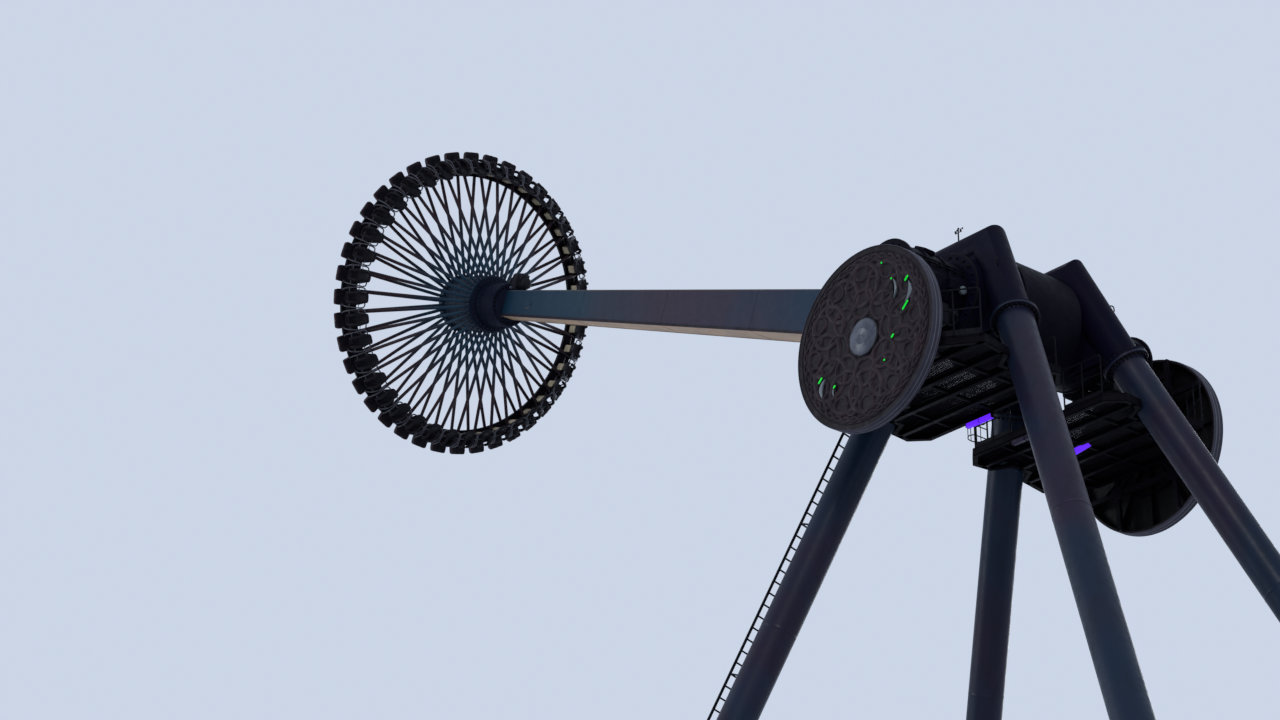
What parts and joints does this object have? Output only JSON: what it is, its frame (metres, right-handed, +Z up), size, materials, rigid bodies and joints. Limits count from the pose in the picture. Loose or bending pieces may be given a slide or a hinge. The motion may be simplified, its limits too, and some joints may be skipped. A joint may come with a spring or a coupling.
{
  "type": "gyro swing ride",
  "caption": "Fairground giant swing: an arm between two splayed tube A-frames swings a slowly turning ring of outward-facing seats.",
  "frame": {"origin": "on the ground, in the middle of the four base plates, straight below the middle of the main axle", "axes": "+X is the front, along the swing and away from the raised arm; +Y is along the main axle to the right side; +Z is up"},
  "size_m": [36.7533, 17.72, 38.2286],
  "materials": {
    "tower_paint": "satin",
    "arm_paint": "satin colour-shift",
    "gondola_paint": "satin",
    "drive_paint": "satin",
    "motor_paint": "satin",
    "grating": "matt",
    "galvanised": "matt",
    "dark_steel": "matt",
    "disc_finish": "matt",
    "lamp_glass": "gloss",
    "lamp_violet": "gloss",
    "seat_shell": "matt",
    "restraint_finish": "satin",
    "panel_finish": "matt"
  },
  "bodies": {
    "structure": {"front_left_leg": "tower_paint", "front_left_base": "galvanised", "rear_left_leg": "tower_paint", "rear_left_base": "galvanised", "front_right_leg": "tower_paint", "front_right_base": "galvanised", "rear_right_leg": "tower_paint", "rear_right_base": "galvanised", "left_head": "tower_paint", "right_head": "tower_paint", "left_drive_housing": "drive_paint", "right_drive_housing": "drive_paint", "left_drive_motors": "motor_paint", "right_drive_motors": "motor_paint", "left_deck": "grating", "right_deck": "grating", "left_railing": "galvanised", "right_railing": "galvanised", "left_disc_frame": "dark_steel", "right_disc_frame": "dark_steel", "left_disc": "disc_finish", "right_disc": "disc_finish", "left_disc_relief": "disc_finish", "right_disc_relief": "disc_finish", "left_lamp": "lamp_glass", "right_lamp": "lamp_glass", "left_lamp_bar": "lamp_violet", "right_lamp_bar": "lamp_violet", "rear_left_ladder": "galvanised", "wind_gauge": "dark_steel"},
    "arm": {"arm_hub": "tower_paint", "arm_girder": "arm_paint", "arm_flange": "dark_steel", "spin_motor": "motor_paint"},
    "gondola": {"seat_ring": "gondola_paint", "gondola_hub": "gondola_paint", "gondola_bearing": "dark_steel", "seat_backs": "seat_shell", "seat_pans": "seat_shell", "restraints": "restraint_finish", "seat_panels": "panel_finish"}
  },
  "joints": [
    {"name": "arm_swing", "type": "hinge", "parent": "structure", "child": "arm", "pos_m": [0, 0, 25.4], "axis": [0, 1, 0], "range_deg": [-231.97, 8.03]},
    {"name": "gondola_spin", "type": "hinge", "parent": "arm", "child": "gondola", "pos_m": [-21.53376, 0, 34.08709], "axis": [-0.9274, 0, 0.3741], "continuous": true}
  ]
}
